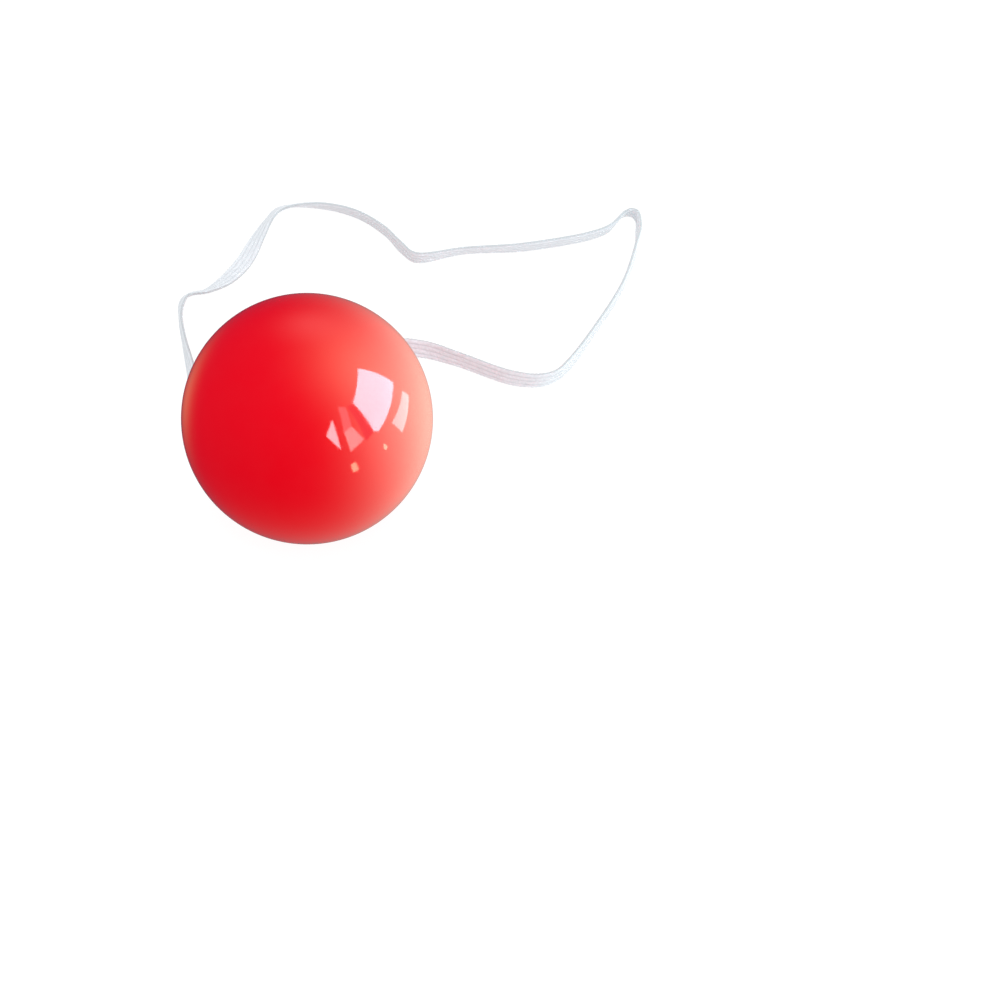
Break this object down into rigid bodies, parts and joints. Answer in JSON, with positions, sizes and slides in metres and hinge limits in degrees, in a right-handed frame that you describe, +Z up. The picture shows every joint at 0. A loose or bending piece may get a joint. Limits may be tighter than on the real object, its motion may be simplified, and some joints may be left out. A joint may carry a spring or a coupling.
{
  "type": "clown nose",
  "caption": "Hollow glossy ball nose, cut flat and open at the back, with a thin loop of flat elastic knotted into a hole on each side.",
  "frame": {"origin": "the middle of the flat rim round the opening, on the surface that the nose stands on", "axes": "+Z up, away from the face when worn; the two holes are on the X axis; the elastic lies behind, towards +Y"},
  "size_m": [0.1015, 0.1021, 0.0442],
  "materials": {
    "red_plastic": "gloss",
    "white_elastic": "matte"
  },
  "bodies": {
    "root": {"nose_shell": "red_plastic", "elastic_band": "white_elastic", "elastic_knot_left": "white_elastic", "elastic_knot_right": "white_elastic"}
  },
  "joints": []
}
